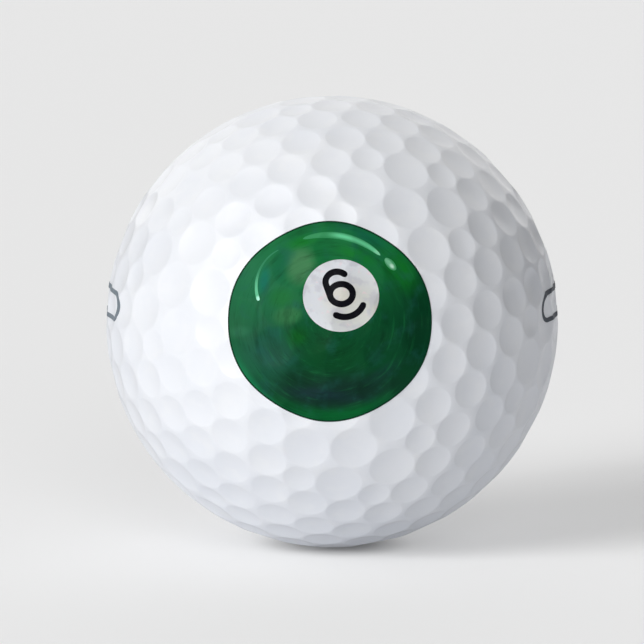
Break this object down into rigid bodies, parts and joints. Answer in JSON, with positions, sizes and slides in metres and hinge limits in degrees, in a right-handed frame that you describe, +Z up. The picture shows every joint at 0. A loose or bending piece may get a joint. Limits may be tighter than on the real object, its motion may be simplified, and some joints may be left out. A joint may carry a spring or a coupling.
{
  "type": "golf ball",
  "caption": "White dimpled golf ball with a printed picture of a green numbered pool ball on its front and a plain oval alignment mark on each side.",
  "frame": {"origin": "centre of the ball", "axes": "+Z up, -Z towards the point that the ball rests on, picture facing -Y and looking up by 7.5 degrees"},
  "size_m": [0.0426, 0.0427, 0.0426],
  "materials": {
    "core_rubber": "matt moulded rubber",
    "cover_white": "glossy white ionomer under clear coat",
    "ink_dark": "printed ink under clear coat",
    "ink_green": "printed ink under clear coat, brushed look",
    "ink_white": "printed ink under clear coat, faintly mottled",
    "ink_black": "printed ink under clear coat",
    "ink_light_green": "printed ink under clear coat",
    "ink_pale_green": "printed ink under clear coat",
    "ink_grey": "printed ink under clear coat"
  },
  "bodies": {
    "root": {"core": "core_rubber", "cover": "cover_white", "print_outline": "ink_dark", "print_field": "ink_green", "print_spot": "ink_white", "print_numeral": "ink_black", "print_underline": "ink_black", "print_highlight_top": "ink_light_green", "print_highlight_dot": "ink_pale_green", "print_highlight_left": "ink_light_green", "side_mark_left": "ink_grey", "side_mark_right": "ink_grey"}
  },
  "joints": []
}
